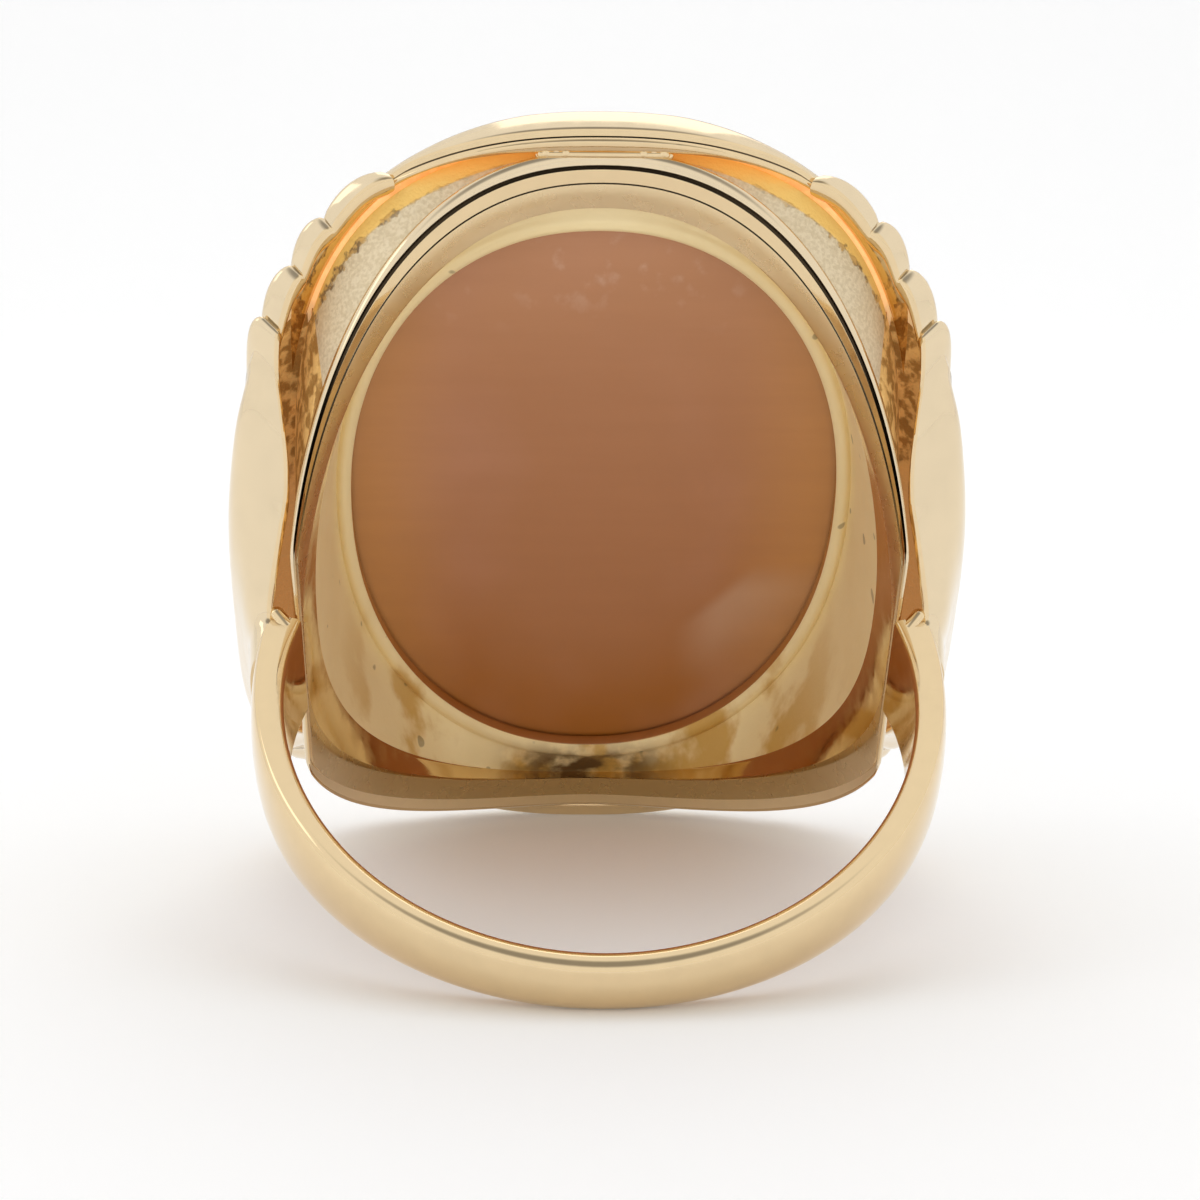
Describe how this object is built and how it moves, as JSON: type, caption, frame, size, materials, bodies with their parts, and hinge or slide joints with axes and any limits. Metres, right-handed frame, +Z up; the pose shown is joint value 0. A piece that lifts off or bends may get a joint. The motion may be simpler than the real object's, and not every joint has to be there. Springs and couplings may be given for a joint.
{
  "type": "cameo ring",
  "caption": "Gold finger ring with a domed oval head that holds a carved shell cameo in a bezel, over an open gallery and hollow ribbed shoulders",
  "frame": {"origin": "on the table, under the middle of the ring's bounding box as it lies on its side", "axes": "+Z up from the table; +X across the finger, from one shoulder to the other; the finger runs towards +Y and downwards, and the head with the stone faces +Y and upwards"},
  "size_m": [0.021, 0.0241, 0.0228],
  "materials": {
    "gold": "polished yellow gold, rough as cast inside the shoulders",
    "shell": "carved sardonyx shell, brown back with pinkish streaks and a satin polish"
  },
  "bodies": {
    "root": {"ring_mount": "gold", "cameo": "shell"}
  },
  "joints": []
}
